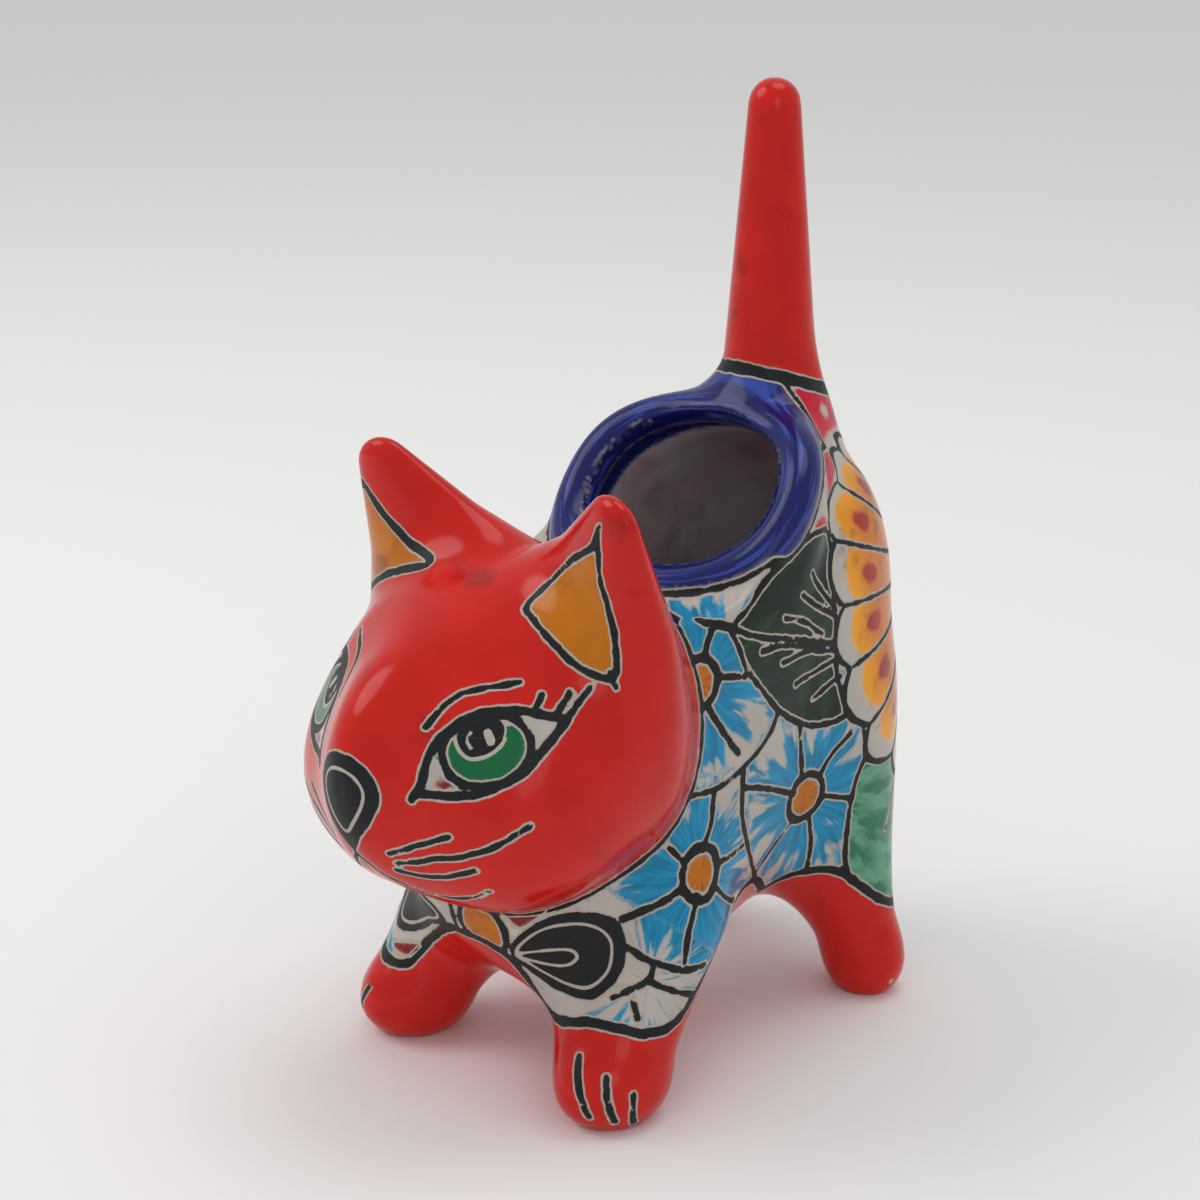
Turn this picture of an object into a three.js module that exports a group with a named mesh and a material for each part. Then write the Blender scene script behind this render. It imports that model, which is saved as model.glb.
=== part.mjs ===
// Ceramic cat planter: a hollow, glazed earthenware cat that carries a plant in its open back.
// Millimetres, +Z up. The cat faces -Y, its left side is +X, and its paws stand on z = 0.
//
// The pot is one piece of fired clay. Its outside is a head and a body, each a smooth blend
// of round forms, and its inside is one hollow that runs from the mouth in the back into the
// head. The whole is written as one distance field, negative in the clay, which is meshed on
// a grid and then thinned to a mesh that is fine only where the clay curves tightly.
import * as THREE from "three";

// Wall of fired clay, and the rolled lip round the mouth
const WALL = 5.5;
const LIP_RADIUS = 5;
const MOUTH_LEDGE = 4.5;
const COLLAR_DEPTH = 10;
const HOLLOW_FLOOR = 36;

// How far the glaze fills the crease between head and body, and under the lip
const CREASE = 3;

// Mouth: the line through the middle of the lip, in a plane that climbs to the tail
const MOUTH = {
  y: 18,
  z: 144,
  pitch: 50,
  halfWidth: 35.5,
  halfLength: 29,
  squareness: 2.1,
  dish: 1,
  droop: 6.5,
};

// Head
const SKULL = { y: -45, z: 97, rx: 48, ry: 39, rz: 42, squareness: 2.2 };
const CHEEK = { x: 17, y: -68.3, z: 84.7, rx: 25, ry: 23, rz: 24.2, blend: 17 };
const MUZZLE = { y: -81.4, z: 95, rx: 14.3, ry: 22.3, rz: 26.3, blend: 19 };
const EAR = {
  base: [28, -41.2, 129],
  tip: [39.7, -51.4, 156.2],
  baseRadius: 22.7,
  tipRadius: 8.5,
  flatness: 0.5,
  turn: 2,
  lean: 0.25,
  blend: 12.3,
};

// Trunk: the haunch carries the mouth, the chest runs on under the head
const HAUNCH = { y: 19, z: 98.7, rx: 40, ry: 64, rz: 64.5 };
const CHEST = { y: -24.8, z: 76.9, rx: 32, ry: 45, rz: 50.7 };
const TRUNK_SQUARENESS = 2.75;
const TRUNK_BLEND = 23;

// Legs run from a foot on the ground up into the trunk
const FRONT_LEG = { foot: [37, -46.2], footRadius: 12, top: [37.4, -24.5, 46], topRadius: 6.6 };
const REAR_LEG = { foot: [36, 57.8], footRadius: 9.3, top: [21, 47, 79.4], topRadius: 11 };

// Paws: how far forward each lies, and how much wider, longer and higher it is than its leg's foot
const FRONT_PAW = { forward: 1, wider: -0.5, longer: 4, higher: -1.5 };
const REAR_PAW = { forward: 1.5, wider: 1.5, longer: -0.3, higher: 2.2 };
const LEG_BLEND = 30;
const PAW_BLEND = 6;
const FOOT_FLAT = 1.2;

// Tail: a tapering round bar that stands straight up behind the mouth
const TAIL = { baseY: 51.5, baseZ: 163.6, topY: 50.5, topZ: 250, baseRadius: 13.4, tipRadius: 6.9 };
const TAIL_BLEND = 17;

// How finely the clay is meshed
const GRID_STEP = 3;
const FACE_COUNT = 8000;
const SLIVER = 0.05;
const SHORT_EDGE = 0.3;

const { abs, cos, max, min, sign, sin, sqrt, PI } = Math;

function smoothMin(a, b, blend) {
  const share = THREE.MathUtils.clamp(0.5 + (0.5 * (b - a)) / blend, 0, 1);
  return b + (a - b) * share - blend * share * (1 - share);
}

function length3(x, y, z) {
  return sqrt(x * x + y * y + z * z);
}

function ellipsoid(x, y, z, rx, ry, rz) {
  const near = length3(x / rx, y / ry, z / rz);
  const slope = length3(x / rx ** 2, y / ry ** 2, z / rz ** 2) + 1e-9;
  return (near * (near - 1)) / slope;
}

function squareRound(x, y, z, rx, ry, rz, squareness) {
  const total = abs(x / rx) ** squareness + abs(y / ry) ** squareness + abs(z / rz) ** squareness;
  return (total ** (1 / squareness) - 1) * min(rx, ry, rz);
}

// A ball of radius ra at a and one of radius rb at b, with the cone that wraps them both
function roundCone(x, y, z, a, b, ra, rb) {
  const bx = b[0] - a[0];
  const by = b[1] - a[1];
  const bz = b[2] - a[2];
  const lengthSq = bx * bx + by * by + bz * bz;
  const taper = ra - rb;
  const slant = lengthSq - taper * taper;
  const px = x - a[0];
  const py = y - a[1];
  const pz = z - a[2];
  const along = px * bx + py * by + pz * bz;
  const past = along - lengthSq;
  const across = length3(
    px * lengthSq - bx * along,
    py * lengthSq - by * along,
    pz * lengthSq - bz * along,
  );
  const edge = sign(taper) * taper * taper * across * across;
  if (sign(past) * slant * past * past * lengthSq > edge) {
    return sqrt(across * across + past * past * lengthSq) / lengthSq - rb;
  }
  if (sign(along) * slant * along * along * lengthSq < edge) {
    return sqrt(across * across + along * along * lengthSq) / lengthSq - ra;
  }
  return (across * sqrt(slant / lengthSq) + along * taper) / lengthSq - ra;
}

// The ear is a round cone squashed along the line that it faces
const earUp = new THREE.Vector3(...EAR.tip).sub(new THREE.Vector3(...EAR.base)).normalize();
const earTurn = THREE.MathUtils.degToRad(EAR.turn);
const earFacing = new THREE.Vector3(sin(earTurn), -cos(earTurn), EAR.lean);
earFacing.addScaledVector(earUp, -earFacing.dot(earUp)).normalize();

function ear(x, y, z) {
  const [bx, by, bz] = EAR.base;
  const depth = (x - bx) * earFacing.x + (y - by) * earFacing.y + (z - bz) * earFacing.z;
  const spread = depth * (1 / EAR.flatness - 1);
  const cone = roundCone(
    x + earFacing.x * spread,
    y + earFacing.y * spread,
    z + earFacing.z * spread,
    EAR.base,
    EAR.tip,
    EAR.baseRadius,
    EAR.tipRadius,
  );
  return cone * EAR.flatness;
}

// Skull and cheeks alone, moved inwards by inset
function headCore(x, y, z, inset) {
  const skull = squareRound(
    x,
    y - SKULL.y,
    z - SKULL.z,
    SKULL.rx - inset,
    SKULL.ry - inset,
    SKULL.rz - inset,
    SKULL.squareness,
  );
  const cheek = ellipsoid(
    abs(x) - CHEEK.x,
    y - CHEEK.y,
    z - CHEEK.z,
    CHEEK.rx - inset,
    CHEEK.ry - inset,
    CHEEK.rz - inset,
  );
  return smoothMin(skull, cheek, CHEEK.blend);
}

function head(x, y, z) {
  const muzzle = ellipsoid(x, y - MUZZLE.y, z - MUZZLE.z, MUZZLE.rx, MUZZLE.ry, MUZZLE.rz);
  const face = smoothMin(headCore(x, y, z, 0), muzzle, MUZZLE.blend);
  return smoothMin(face, ear(abs(x), y, z), EAR.blend);
}

function trunk(x, y, z, inset) {
  const lump = (form) =>
    squareRound(
      x,
      y - form.y,
      z - form.z,
      form.rx - inset,
      form.ry - inset,
      form.rz - inset,
      TRUNK_SQUARENESS,
    );
  return smoothMin(lump(HAUNCH), lump(CHEST), TRUNK_BLEND);
}

// Mouth coordinates: along the slope, and height over the dished plane of the lip
const pitch = THREE.MathUtils.degToRad(MOUTH.pitch);

function mouthRise(along) {
  const share = THREE.MathUtils.clamp(along / MOUTH.halfLength, -1.5, 1.5);
  return MOUTH.dish * share ** 2 - MOUTH.droop * share ** 3;
}

function mouthAlong(y, z) {
  return (y - MOUTH.y) * cos(pitch) + (z - MOUTH.z) * sin(pitch);
}

function mouthHeight(y, z) {
  const level = (z - MOUTH.z) * cos(pitch) - (y - MOUTH.y) * sin(pitch);
  return level - mouthRise(mouthAlong(y, z));
}

// Distance outwards from the line through the middle of the lip, in the mouth's plane
function mouthOutwards(x, along) {
  const total =
    abs(x / MOUTH.halfWidth) ** MOUTH.squareness + abs(along / MOUTH.halfLength) ** MOUTH.squareness;
  const share = total ** (1 / MOUTH.squareness);
  return share < 0.01 ? -MOUTH.halfLength : ((share - 1) * sqrt(x * x + along * along)) / share;
}

// A leg without its paw, and the paw at its foot
function limb(x, y, z, part, inset) {
  const foot = [part.foot[0], part.foot[1], part.footRadius - FOOT_FLAT];
  return roundCone(x, y, z, foot, part.top, part.footRadius, part.topRadius) + inset;
}

function paw(x, y, z, part, toes) {
  const rx = part.footRadius + toes.wider;
  const ry = part.footRadius + toes.longer;
  const rz = part.footRadius + toes.higher;
  return ellipsoid(x - part.foot[0], y - part.foot[1] + toes.forward, z - rz + FOOT_FLAT, rx, ry, rz);
}

// A short round-edged neck that carries the lip, filled here and opened by the shaft
function collar(x, y, z) {
  const outwards = mouthOutwards(x, mouthAlong(y, z)) - WALL / 4;
  const middle = abs(mouthHeight(y, z) + COLLAR_DEPTH / 2);
  return -smoothMin(-outwards, COLLAR_DEPTH / 2 - middle, COLLAR_DEPTH / 2);
}

// Trunk and legs, moved inwards by inset, and open above the mouth
function torso(x, y, z, inset) {
  const side = abs(x);
  const level = -smoothMin(-trunk(x, y, z, inset), -mouthHeight(y, z) - inset, WALL / 2);
  const open = smoothMin(level, collar(x, y, z) + inset, COLLAR_DEPTH);
  const fore = smoothMin(open, limb(side, y, z, FRONT_LEG, inset), LEG_BLEND);
  return smoothMin(fore, limb(side, y, z, REAR_LEG, inset), LEG_BLEND);
}

function body(x, y, z) {
  const side = abs(x);
  let form = torso(x, y, z, 0);
  form = smoothMin(form, paw(side, y, z, FRONT_LEG, FRONT_PAW), PAW_BLEND);
  form = smoothMin(form, paw(side, y, z, REAR_LEG, REAR_PAW), PAW_BLEND);
  const tip = [0, TAIL.topY, TAIL.topZ - TAIL.tipRadius];
  const tail = roundCone(x, y, z, [0, TAIL.baseY, TAIL.baseZ], tip, TAIL.baseRadius, TAIL.tipRadius);
  return smoothMin(form, tail, TAIL_BLEND);
}

// The empty inside: trunk and head hollows over a level floor, and a shaft through the mouth
function hollow(x, y, z) {
  const belly = -smoothMin(-torso(x, y, z, WALL), z - HOLLOW_FLOOR, WALL);
  const inside = smoothMin(belly, headCore(x, y, z, WALL), WALL);
  const mouth = mouthOutwards(x, mouthAlong(y, z)) + MOUTH_LEDGE;
  const shaft = max(mouth, abs(mouthHeight(y, z)) - 3 * WALL);
  return smoothMin(inside, shaft, WALL / 2);
}

// The lip is a round bar bent round the mouth
function lip(x, y, z) {
  const outwards = mouthOutwards(x, mouthAlong(y, z));
  const height = mouthHeight(y, z);
  return sqrt(outwards * outwards + height * height) - LIP_RADIUS;
}

function clay(x, y, z) {
  const outside = smoothMin(head(x, y, z), body(x, y, z), CREASE);
  const shell = max(outside, -hollow(x, y, z));
  return smoothMin(shell, lip(x, y, z), CREASE);
}

// Closed mesh of the surface where a field is zero. Each grid cell that the surface crosses
// gets one point, and each grid edge that it crosses joins the four cells round it.
function meshField(field, box, step) {
  const size = box.getSize(new THREE.Vector3());
  const nx = Math.ceil(size.x / step) + 1;
  const ny = Math.ceil(size.y / step) + 1;
  const nz = Math.ceil(size.z / step) + 1;
  const at = (i, j, k) => i + nx * (j + ny * k);
  const place = (i, j, k) => [box.min.x + i * step, box.min.y + j * step, box.min.z + k * step];
  const values = new Float64Array(nx * ny * nz);
  for (let k = 0; k < nz; k += 1) {
    for (let j = 0; j < ny; j += 1) {
      for (let i = 0; i < nx; i += 1) {
        values[at(i, j, k)] = field(...place(i, j, k));
      }
    }
  }
  partSheets(values, [1, nx, nx * ny]);
  const points = [];
  const cellPoint = new Int32Array(nx * ny * nz).fill(-1);
  for (let k = 0; k < nz - 1; k += 1) {
    for (let j = 0; j < ny - 1; j += 1) {
      for (let i = 0; i < nx - 1; i += 1) {
        const crossing = cellCrossing(values, at, i, j, k);
        if (crossing) {
          cellPoint[at(i, j, k)] = points.length;
          const [x, y, z] = place(i + crossing[0], j + crossing[1], k + crossing[2]);
          points.push(ontoSurface(field, x, y, z));
        }
      }
    }
  }
  const faces = [];
  const addQuad = (a, b, c, d, turned) => {
    const quad = [a, b, c, d].map((cell) => cellPoint[cell]);
    const [p, q, r, s] = turned ? quad.reverse() : quad;
    if (distance(points[p], points[r]) < distance(points[q], points[s])) {
      faces.push([p, q, r], [p, r, s]);
    } else {
      faces.push([q, r, s], [q, s, p]);
    }
  };
  for (let k = 1; k < nz - 1; k += 1) {
    for (let j = 1; j < ny - 1; j += 1) {
      for (let i = 1; i < nx - 1; i += 1) {
        const inside = values[at(i, j, k)] < 0;
        if (inside !== values[at(i + 1, j, k)] < 0) {
          addQuad(at(i, j - 1, k - 1), at(i, j, k - 1), at(i, j, k), at(i, j - 1, k), !inside);
        }
        if (inside !== values[at(i, j + 1, k)] < 0) {
          addQuad(at(i - 1, j, k - 1), at(i - 1, j, k), at(i, j, k), at(i, j, k - 1), !inside);
        }
        if (inside !== values[at(i, j, k + 1)] < 0) {
          addQuad(at(i - 1, j - 1, k), at(i, j - 1, k), at(i, j, k), at(i - 1, j, k), !inside);
        }
      }
    }
  }
  return { points, faces };
}

// Where a saddle of the surface grazes a grid square, the square's corners change side twice
// on the way round and two sheets would share an edge. Its weakest corner changes side.
function partSheets(values, strides) {
  const changes = (square) => {
    const inside = square.map((corner) => values[corner] < 0);
    return inside[0] === inside[2] && inside[1] === inside[3] && inside[0] !== inside[1];
  };
  let found = true;
  while (found) {
    found = false;
    for (const [across, up] of [[0, 1], [1, 2], [2, 0]]) {
      const [right, high] = [strides[across], strides[up]];
      for (let corner = 0; corner + right + high < values.length; corner += 1) {
        const square = [corner, corner + right, corner + right + high, corner + high];
        if (changes(square)) {
          const weakest = square.reduce((p, q) => (abs(values[p]) < abs(values[q]) ? p : q));
          values[weakest] = -values[weakest];
          found = true;
        }
      }
    }
  }
}

function distance(p, q) {
  return length3(p[0] - q[0], p[1] - q[1], p[2] - q[2]);
}

// Middle of the points where the surface crosses the cell's edges, in cell units
function cellCrossing(values, at, i, j, k) {
  const total = [0, 0, 0];
  let count = 0;
  for (let axis = 0; axis < 3; axis += 1) {
    for (let corner = 0; corner < 4; corner += 1) {
      const start = [0, 0, 0];
      start[(axis + 1) % 3] = corner % 2;
      start[(axis + 2) % 3] = corner >> 1;
      const end = [...start];
      end[axis] = 1;
      const low = values[at(i + start[0], j + start[1], k + start[2])];
      const high = values[at(i + end[0], j + end[1], k + end[2])];
      if (low < 0 !== high < 0) {
        start[axis] = low / (low - high);
        total.forEach((value, index) => {
          total[index] = value + start[index];
        });
        count += 1;
      }
    }
  }
  return count ? total.map((value) => value / count) : null;
}

// Moves a point down the field's slope until it lies on the surface
function ontoSurface(field, x, y, z) {
  const reach = 0.01;
  const point = [x, y, z];
  for (let turn = 0; turn < 3; turn += 1) {
    const [px, py, pz] = point;
    const here = field(px, py, pz);
    const slope = [
      (field(px + reach, py, pz) - here) / reach,
      (field(px, py + reach, pz) - here) / reach,
      (field(px, py, pz + reach) - here) / reach,
    ];
    const steep = max(length3(...slope), 0.3) ** 2;
    const pull = THREE.MathUtils.clamp(here, -GRID_STEP / 4, GRID_STEP / 4) / steep;
    point.forEach((value, index) => {
      point[index] = value - slope[index] * pull;
    });
  }
  return point;
}

// Sum of squared distances to the planes of the faces round a point, as a quadratic form,
// with a light pull to the point itself that keeps flat places steady
function planeErrors({ points, faces }) {
  const hold = 0.01;
  const errors = points.map(([x, y, z]) => [
    hold, 0, 0, -hold * x, hold, 0, -hold * y, hold, -hold * z, hold * (x * x + y * y + z * z),
  ]);
  for (const face of faces) {
    const corners = face.map((index) => new THREE.Vector3(...points[index]));
    const triangle = new THREE.Triangle(...corners);
    const { x, y, z } = triangle.getNormal(new THREE.Vector3());
    const d = -(x * corners[0].x + y * corners[0].y + z * corners[0].z);
    const area = triangle.getArea();
    const plane = [x * x, x * y, x * z, x * d, y * y, y * z, y * d, z * z, z * d, d * d];
    for (const index of face) {
      plane.forEach((value, term) => {
        errors[index][term] += value * area;
      });
    }
  }
  return errors;
}

// The place where two points do the least harm as one, and how much that is
function mergedPoint(errors, a, b) {
  const q = errors[a].map((value, term) => value + errors[b][term]);
  const matrix = new THREE.Matrix3(q[0], q[1], q[2], q[1], q[4], q[5], q[2], q[5], q[7]).invert();
  const spot = new THREE.Vector3(-q[3], -q[6], -q[8]).applyMatrix3(matrix);
  const cost = q[9] + q[3] * spot.x + q[6] * spot.y + q[8] * spot.z;
  return { a, b, q, spot: spot.toArray(), cost };
}

// Joins points pairwise, the least noticeable pairs first, down to the wanted face count
function thin({ points, faces }, wanted) {
  const errors = planeErrors({ points, faces });
  let left = faces;
  while (left.length > wanted) {
    const round = points.map(() => []);
    const pairs = [];
    left.forEach((face, index) => {
      face.forEach((point, corner) => {
        round[point].push(index);
        const next = face[(corner + 1) % 3];
        if (point < next) {
          const pair = mergedPoint(errors, point, next);
          pair.short = distance(points[point], points[next]) < SHORT_EDGE;
          pairs.push(pair);
        }
      });
    });
    pairs.sort((p, q) => q.short - p.short || p.cost - q.cost);
    const cheap = pairs.slice(0, Math.ceil(pairs.length / 4));
    const busy = new Uint8Array(points.length);
    let spare = left.length - wanted;
    for (const pair of cheap) {
      if (spare > 0 && !busy[pair.a] && !busy[pair.b] && joinsCleanly(points, left, round, pair)) {
        const touched = [...round[pair.a], ...round[pair.b]];
        touched.forEach((index) => left[index].forEach((point) => {
          busy[point] = 1;
        }));
        points[pair.a] = pair.spot;
        errors[pair.a] = pair.q;
        for (const index of round[pair.b]) {
          left[index] = left[index].map((point) => (point === pair.b ? pair.a : point));
        }
        spare -= 2;
      }
    }
    const before = left.length;
    left = left.filter(([a, b, c]) => a !== b && b !== c && c !== a);
    if (left.length === before) {
      break;
    }
  }
  return { points, faces: left };
}

// A pair may join when it shares just two neighbours and turns no face over. Slivers that
// the joins and cuts leave have no sure direction, so they may turn.
function joinsCleanly(points, faces, round, { a, b, spot, short }) {
  const neighbours = (centre) => new Set(round[centre].flatMap((index) => faces[index]));
  const ofB = neighbours(b);
  const shared = [...neighbours(a)].filter((point) => point !== a && point !== b && ofB.has(point));
  if (shared.length !== 2) {
    return false;
  }
  const kept = (index) => !(faces[index].includes(a) && faces[index].includes(b));
  const moved = (point) => (point === a || point === b ? spot : points[point]);
  return [...round[a], ...round[b]].filter(kept).every((index) => {
    const old = new THREE.Triangle(...faces[index].map((point) => new THREE.Vector3(...points[point])));
    const fresh = new THREE.Triangle(...faces[index].map((point) => new THREE.Vector3(...moved(point))));
    const agree = old.getNormal(new THREE.Vector3()).dot(fresh.getNormal(new THREE.Vector3()));
    return agree > 0.5 || short || old.getArea() < SLIVER;
  });
}

// Space that holds every form with room to spare
function clayBox() {
  const margin = 3 * GRID_STEP;
  const halfWidth = max(SKULL.rx, HAUNCH.rx + LEG_BLEND / 4, EAR.tip[0] + EAR.baseRadius);
  const pawSide = max(FRONT_LEG.foot[0] + FRONT_LEG.footRadius, REAR_LEG.foot[0] + REAR_LEG.footRadius);
  const nose = MUZZLE.y - MUZZLE.ry;
  const rump = max(HAUNCH.y + HAUNCH.ry, REAR_LEG.foot[1] + REAR_LEG.footRadius) + LEG_BLEND / 4;
  const side = max(halfWidth, pawSide) + margin;
  return new THREE.Box3(
    new THREE.Vector3(-side, nose - margin, -margin),
    new THREE.Vector3(side, rump + margin, TAIL.topZ + margin),
  );
}

// The round paws reach below the ground by FOOT_FLAT. What lies lower than hair is ground
// off level with it.
function standFlat({ points, faces }, hair) {
  return { points: points.map(([x, y, z]) => [x, y, z < hair ? 0 : z]), faces };
}

function buildPot() {
  const cast = standFlat(meshField(clay, clayBox(), GRID_STEP), 0);
  const { points, faces } = standFlat(thin(cast, FACE_COUNT), FOOT_FLAT / 20);
  const geometry = new THREE.BufferGeometry();
  geometry.setAttribute("position", new THREE.Float32BufferAttribute(points.flat(), 3));
  geometry.setIndex(faces.flat());
  geometry.computeVertexNormals();
  geometry.computeBoundingBox();
  return geometry;
}

const glaze = new THREE.MeshStandardMaterial({ color: 0xb8150b, roughness: 0.2, metalness: 0 });
const pot = new THREE.Mesh(buildPot(), glaze);
pot.name = "cat_planter";

// The origin lies on the ground under the middle of the pot
const middle = pot.geometry.boundingBox.getCenter(new THREE.Vector3());
pot.geometry.translate(-middle.x, -middle.y, 0);

const planter = new THREE.Group();
planter.add(pot);

export default planter;
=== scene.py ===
"""Ceramic cat planter: its glazed and painted surface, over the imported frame.

The pot stands with its paws on z = 0, faces -Y, and its left side is +X. Its glazed skin starts
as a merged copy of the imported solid. That copy is divided finely and drawn onto the smooth form
that the solid follows, and the painting is stored on it as distances to the painted lines, in
millimetres, and as the colours between them. The right side mirrors the left, but for a chest
petal, an ear patch and the black band under the chest, which were painted differently.
"""

import math

import bmesh
import bpy
import numpy as np
from mathutils import Matrix, Vector


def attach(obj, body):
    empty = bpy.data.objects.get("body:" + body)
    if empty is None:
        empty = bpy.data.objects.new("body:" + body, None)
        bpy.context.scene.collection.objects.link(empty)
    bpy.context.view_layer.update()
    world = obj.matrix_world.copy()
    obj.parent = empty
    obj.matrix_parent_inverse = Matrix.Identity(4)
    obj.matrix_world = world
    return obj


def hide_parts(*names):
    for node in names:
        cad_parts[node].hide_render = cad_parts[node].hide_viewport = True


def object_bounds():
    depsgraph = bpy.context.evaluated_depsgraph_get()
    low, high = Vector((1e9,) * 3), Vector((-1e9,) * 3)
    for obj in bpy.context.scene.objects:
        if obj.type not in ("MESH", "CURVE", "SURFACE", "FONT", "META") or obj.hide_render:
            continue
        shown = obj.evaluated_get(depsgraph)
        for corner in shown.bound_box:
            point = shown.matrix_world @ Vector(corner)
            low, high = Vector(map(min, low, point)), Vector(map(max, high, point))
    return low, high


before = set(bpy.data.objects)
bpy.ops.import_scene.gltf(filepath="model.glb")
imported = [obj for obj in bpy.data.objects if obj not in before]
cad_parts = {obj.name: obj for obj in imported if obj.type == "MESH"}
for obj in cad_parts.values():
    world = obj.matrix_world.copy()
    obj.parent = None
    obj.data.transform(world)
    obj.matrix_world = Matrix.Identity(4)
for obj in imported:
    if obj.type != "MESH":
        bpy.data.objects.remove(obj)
cad_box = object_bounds()

bl_info = {
    "name": "Ceramic Cat Planter",
    "version": (1, 0, 0),
    "blender": (4, 5, 0),
    "location": "View3D > Sidebar > Cat Planter",
    "description": "Builds the glaze and painting of a ceramic cat planter, and a plain stage",
    "category": "Object",
}

MM = 0.001
# Stands for a distance in mm to a line that is well away
FAR = 50.0

# The pot is worked out in millimetres with x = 0 through its middle and its own y. The packed
# frame has its origin under the middle of the outer box, this much further back.
CENTRING = 10.507
# Skin closer than this to the empty inside belongs to it, in mm
INSIDE_DEPTH = 1.5

# The form: sizes in millimetres, angles in degrees
WALL = 5.5
LIP_RADIUS = 5.0
MOUTH_LEDGE = 4.5
COLLAR_DEPTH = 10.0
HOLLOW_FLOOR = 36.0
CREASE = 3.0
MOUTH = {"y": 18.0, "z": 144.0, "pitch": 50.0, "width": 35.5, "length": 29.0, "squareness": 2.1,
         "dish": 1.0, "droop": 6.5}
SKULL = {"y": -45.0, "z": 97.0, "radii": (48.0, 39.0, 42.0), "squareness": 2.2}
CHEEK = {"x": 17.0, "y": -68.3, "z": 84.7, "radii": (25.0, 23.0, 24.2), "blend": 17.0}
MUZZLE = {"y": -81.4, "z": 95.0, "radii": (14.3, 22.3, 26.3), "blend": 19.0}
EAR = {"base": (28.0, -41.2, 129.0), "tip": (39.7, -51.4, 156.2), "wide": 22.7, "narrow": 8.5,
       "flatness": 0.5, "turn": 2.0, "lean": 0.25, "blend": 12.3}
HAUNCH = {"y": 19.0, "z": 98.7, "radii": (40.0, 64.0, 64.5)}
CHEST = {"y": -24.8, "z": 76.9, "radii": (32.0, 45.0, 50.7)}
TRUNK_SQUARENESS = 2.75
TRUNK_BLEND = 23.0
FRONT_LEG = {"foot": (37.0, -46.2), "low": 12.0, "top": (37.4, -24.5, 46.0), "high": 6.6,
             "paw": (11.5, 16.0, 10.5), "forward": 1.0}
REAR_LEG = {"foot": (36.0, 57.8), "low": 9.3, "top": (21.0, 47.0, 79.4), "high": 11.0,
            "paw": (10.8, 9.0, 11.5), "forward": 1.5}
LEG_BLEND = 30.0
PAW_BLEND = 6.0
FOOT_FLAT = 1.2
TAIL = {"base": (0.0, 51.5, 163.6), "y": 50.5, "z": 250.0, "wide": 13.4, "narrow": 6.9, "blend": 17.0}

# Charts that the painter draws in. Head: degrees round and up from its middle. Front: x and
# height in mm, seen from straight ahead. Body: degrees from the chest round an upright axis,
# and height in mm.
HEAD_MIDDLE = (0.0, -45.0, 95.0)
BODY_AXIS_Y = 15.0

# Black lines of the face: half-width in mm, then the points that the brush passes through
HEAD_LINES = {
    "upper lid": (1.11, [(18, -1), (20, 3), (21, 10), (23, 15), (28, 20), (33, 23), (40, 24.5), (47, 24.5),
                         (54, 23), (61, 21)]),
    "lower lid": (1.07, [(61, 21), (57, 17), (52, 12), (47, 7), (41, 4), (36, 2), (31, 1), (25, 0.5),
                         (19, 0.5)]),
    "iris ring": (1.07, [(36, 24), (44, 22.5), (49, 18), (49.5, 13), (47, 8), (41, 4.5), (34, 3.5),
                         (28, 5.5), (25, 10), (24.5, 15), (28, 20)]),
    "lash 1": (0.8, [(51, 24), (54, 29)]),
    "lash 2": (0.8, [(57, 22), (63, 28.5)]),
    "lash 3": (0.8, [(61, 21), (65, 25), (70, 29)]),
    "brow": (0.72, [(19, 18), (21, 22), (24, 26), (28, 29), (34, 31), (40, 32), (47, 33)]),
    "lip line": (0.66, [(0, -17), (0, -19), (2.5, -22), (5, -26), (10, -30), (16, -33)]),
    "lip end": (0.6, [(16, -33), (25, -33), (33, -30), (38, -26)]),
    "whisker 1": (0.75, [(11, -17), (16, -15), (22, -12.5), (28, -10)]),
    "whisker 2": (0.72, [(12, -20), (18, -19), (24, -17), (29, -16), (34, -14), (39, -12), (44, -9),
                         (49, -6)]),
    "whisker 3": (0.72, [(11, -23), (18, -24), (25, -23), (30, -21), (35, -19)]),
}
PUPIL = [(35, 23), (40, 22), (42, 19), (41, 15), (37, 12), (33, 11), (30, 12.5), (28, 16), (28.5, 19),
         (31, 22)]
IRIS = [(36, 23.5), (44, 22), (48, 18), (48.5, 13), (46, 8), (41, 5.5), (34, 4.5), (28.5, 6.5), (26, 10),
        (25.5, 15), (28, 20)]
EYE = [(19, 0), (21, 10), (23, 15), (28, 20), (33, 23), (40, 24.5), (47, 24.5), (54, 23), (61, 21),
       (57, 17), (52, 12), (47, 7), (41, 4), (36, 2), (31, 1), (25, 0.5)]
TEAR_DUCT = [(23.6, 3.2), (25.6, 4.6), (29, 3.2), (26, 1.9)]
NOSE = [(0, 8), (5, 7), (9, 3), (10.5, -2), (8.5, -7), (5, -12), (1.5, -16.5), (0, -18), (-1.5, -16.5),
        (-5, -12), (-8.5, -7), (-10.5, -2), (-9, 3), (-5, 7)]
NOSTRIL = [(0, 4.2), (4, 3.2), (6.5, 0), (6, -4), (3, -9), (0, -12), (-3, -9), (-6, -4), (-6.5, 0),
           (-4, 3.2)]

# Pale glints in the pupil: half-width, then points
GLINTS = ((1.1, [(37, 18), (38.2, 15.6)]), (0.45, [(32, 18), (31, 15.5), (32.6, 13.4)]))

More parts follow.
